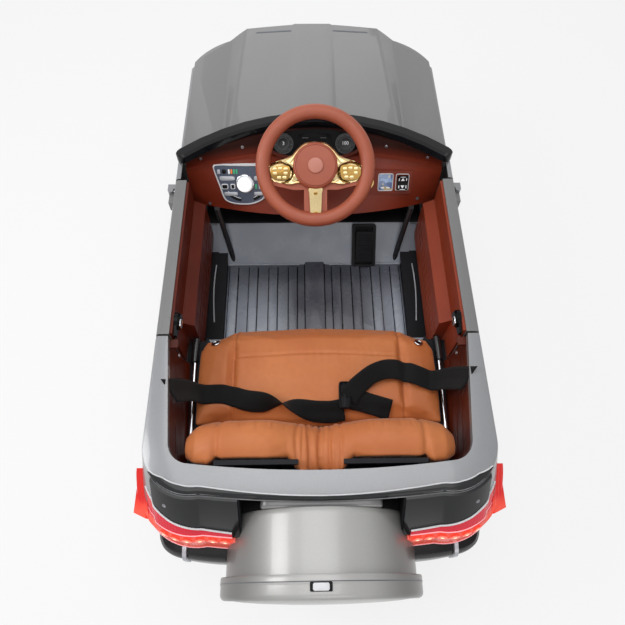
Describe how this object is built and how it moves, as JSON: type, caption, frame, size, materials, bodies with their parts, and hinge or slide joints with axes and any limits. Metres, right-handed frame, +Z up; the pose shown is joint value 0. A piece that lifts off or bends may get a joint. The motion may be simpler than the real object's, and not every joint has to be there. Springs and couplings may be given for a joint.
{
  "type": "electric ride-on car",
  "caption": "Child's electric ride-on car with opening doors, steered front wheels, padded seat, lap belt, dashboard and a round hinged locker on the tail.",
  "frame": {"origin": "on the floor below the middle of the car's bounding box", "axes": "+Y towards the nose, +Z up, +X to the driver's right"},
  "size_m": [0.6538, 1.3519, 0.5273],
  "materials": {
    "body_paint": "satin grey moulded shell",
    "bonnet_paint": "gloss metallic grey",
    "black_trim": "fine matt black",
    "brown_lining": "dark red-brown, low sheen",
    "floor_grey": "blue-grey, semi-gloss",
    "tan_leather": "stitched tan leatherette",
    "webbing": "black woven webbing",
    "black_gloss": "gloss black",
    "panel_face": "dark blue-grey face with a silver bezel",
    "silver_trim": "silver plated plastic",
    "gold_trim": "gold plated plastic",
    "lit_knob": "white translucent",
    "wheel_rim": "terracotta, low sheen",
    "bare_steel": "zinc plated",
    "black_steel": "black enamel",
    "tyre": "blown black plastic tread",
    "rim": "silver",
    "tail_panel": "gloss dark grey",
    "tail_red": "red lens",
    "drum_silver": "silver grey, semi-gloss",
    "lamp_clear": "clear lens over a silver bowl"
  },
  "bodies": {
    "car_body": {"floor_tub": "floor_grey", "side_trims": "black_trim", "front_shell": "body_paint", "rear_shell": "body_paint", "rear_lining": "brown_lining", "bonnet": "bonnet_paint", "cowl_trim": "black_trim", "front_bumper": "black_trim", "grille": "black_gloss", "headlights": "lamp_clear", "dashboard": "brown_lining", "gauge_panel": "black_gloss", "media_panel": "panel_face", "display_panel": "brown_lining", "rear_panel": "tail_panel", "rear_bumper": "black_trim", "rear_tray": "black_trim", "spare_drum": "drum_silver", "seat_base": "tan_leather", "seat_back": "tan_leather", "seat_back_plates": "black_trim", "stay_tubes": "black_steel", "belt_left": "webbing", "belt_right": "webbing", "belt_buckle": "black_gloss", "pedal_housing": "black_trim", "front_beam": "black_steel", "rear_axle": "bare_steel", "gearboxes": "black_trim", "battery": "black_trim", "control_box": "black_trim", "tail_light_left": "tail_red", "tail_light_right": "tail_red"},
    "steering": {"steering_wheel": "wheel_rim", "steering_bezel": "gold_trim", "steering_column": "bare_steel"},
    "wheel_key_left": {"wheel_key_left": "gold_trim"},
    "knuckle_left": {"knuckle_left": "black_steel"},
    "wheel_front_left": {"tyre_front_left": "tyre", "rim_front_left": "rim"},
    "wheel_rear_left": {"tyre_rear_left": "tyre", "rim_rear_left": "rim"},
    "door_left": {"door_left": "body_paint", "door_lining_left": "brown_lining"},
    "latch_left": {"door_latch_left": "black_gloss"},
    "wheel_key_right": {"wheel_key_right": "gold_trim"},
    "knuckle_right": {"knuckle_right": "black_steel"},
    "wheel_front_right": {"tyre_front_right": "tyre", "rim_front_right": "rim"},
    "wheel_rear_right": {"tyre_rear_right": "tyre", "rim_rear_right": "rim"},
    "door_right": {"door_right": "body_paint", "door_lining_right": "brown_lining"},
    "latch_right": {"door_latch_right": "black_gloss"},
    "tie_rod": {"tie_rod": "black_steel"},
    "pedal": {"pedal": "black_trim"},
    "media_knob": {"media_knob": "lit_knob"},
    "start_button": {"start_button": "gold_trim"},
    "drive_switch": {"drive_switch": "black_gloss"},
    "spare_lid": {"spare_lid": "drum_silver"}
  },
  "joints": [
    {"name": "steering_turn", "type": "hinge", "parent": "car_body", "child": "steering", "pos_m": [0, 0.121, 0.45], "axis": [0, -0.5736, 0.8192], "range_deg": [-45, 45]},
    {"name": "tie_rod_slide", "type": "slide", "parent": "car_body", "child": "tie_rod", "axis": [1, 0, 0], "range_m": [-0.0187, 0.0187]},
    {"name": "knuckle_turn_left", "type": "hinge", "parent": "car_body", "child": "knuckle_left", "pos_m": [-0.185, 0.36, 0.125], "axis": [0, 0, 1], "range_deg": [-18.2, 18.2]},
    {"name": "front_wheel_spin_left", "type": "hinge", "parent": "knuckle_left", "child": "wheel_front_left", "pos_m": [-0.285, 0.36, 0.125], "axis": [1, 0, 0], "continuous": true},
    {"name": "rear_wheel_spin_left", "type": "hinge", "parent": "car_body", "child": "wheel_rear_left", "pos_m": [-0.285, -0.38, 0.125], "axis": [1, 0, 0], "continuous": true},
    {"name": "wheel_key_press_left", "type": "slide", "parent": "steering", "child": "wheel_key_left", "axis": [0, -0.5736, 0.8192], "range_m": [-0.002, 0], "stiffness_N_per_m": 300, "springref_m": 0.001},
    {"name": "door_swing_left", "type": "hinge", "parent": "car_body", "child": "door_left", "pos_m": [-0.318, 0.127, 0.294], "axis": [0, 0, -1], "range_deg": [0, 60]},
    {"name": "latch_turn_left", "type": "hinge", "parent": "door_left", "child": "latch_left", "pos_m": [-0.265, -0.203, 0.385], "axis": [-1, 0, 0], "range_deg": [0, 60]},
    {"name": "knuckle_turn_right", "type": "hinge", "parent": "car_body", "child": "knuckle_right", "pos_m": [0.185, 0.36, 0.125], "axis": [0, 0, 1], "range_deg": [-18.2, 18.2]},
    {"name": "front_wheel_spin_right", "type": "hinge", "parent": "knuckle_right", "child": "wheel_front_right", "pos_m": [0.285, 0.36, 0.125], "axis": [1, 0, 0], "continuous": true},
    {"name": "rear_wheel_spin_right", "type": "hinge", "parent": "car_body", "child": "wheel_rear_right", "pos_m": [0.285, -0.38, 0.125], "axis": [1, 0, 0], "continuous": true},
    {"name": "wheel_key_press_right", "type": "slide", "parent": "steering", "child": "wheel_key_right", "axis": [0, -0.5736, 0.8192], "range_m": [-0.002, 0], "stiffness_N_per_m": 300, "springref_m": 0.001},
    {"name": "door_swing_right", "type": "hinge", "parent": "car_body", "child": "door_right", "pos_m": [0.318, 0.127, 0.294], "axis": [0, 0, 1], "range_deg": [0, 60]},
    {"name": "latch_turn_right", "type": "hinge", "parent": "door_right", "child": "latch_right", "pos_m": [0.265, -0.203, 0.385], "axis": [-1, 0, 0], "range_deg": [0, 60]},
    {"name": "pedal_press", "type": "hinge", "parent": "car_body", "child": "pedal", "pos_m": [0.122, 0.06635, 0.1705], "axis": [1, 0, 0], "range_deg": [-12, 0], "stiffness_Nm_per_rad": 1.5, "springref_deg": 6.88},
    {"name": "media_knob_turn", "type": "hinge", "parent": "car_body", "child": "media_knob", "pos_m": [-0.158, 0.1683, 0.3439], "axis": [0, -0.848, 0.5299], "range_deg": [-140, 140]},
    {"name": "start_button_press", "type": "slide", "parent": "car_body", "child": "start_button", "axis": [0, -0.848, 0.5299], "range_m": [-0.003, 0], "stiffness_N_per_m": 300, "springref_m": 0.001},
    {"name": "drive_switch_rock", "type": "hinge", "parent": "car_body", "child": "drive_switch", "pos_m": [0.2, 0.16219, 0.34913], "axis": [1, 0, 0], "range_deg": [-9, 9]},
    {"name": "spare_lid_swing", "type": "hinge", "parent": "car_body", "child": "spare_lid", "pos_m": [0, -0.6335, 0.051], "axis": [1, 0, 0], "range_deg": [0, 80]}
  ],
  "couplings": [
    {"joint": "tie_rod_slide", "follows": "steering_turn", "m_per_rad": 0.023607},
    {"joint": "knuckle_turn_left", "follows": "steering_turn", "ratio": 0.4},
    {"joint": "knuckle_turn_right", "follows": "steering_turn", "ratio": 0.4}
  ]
}
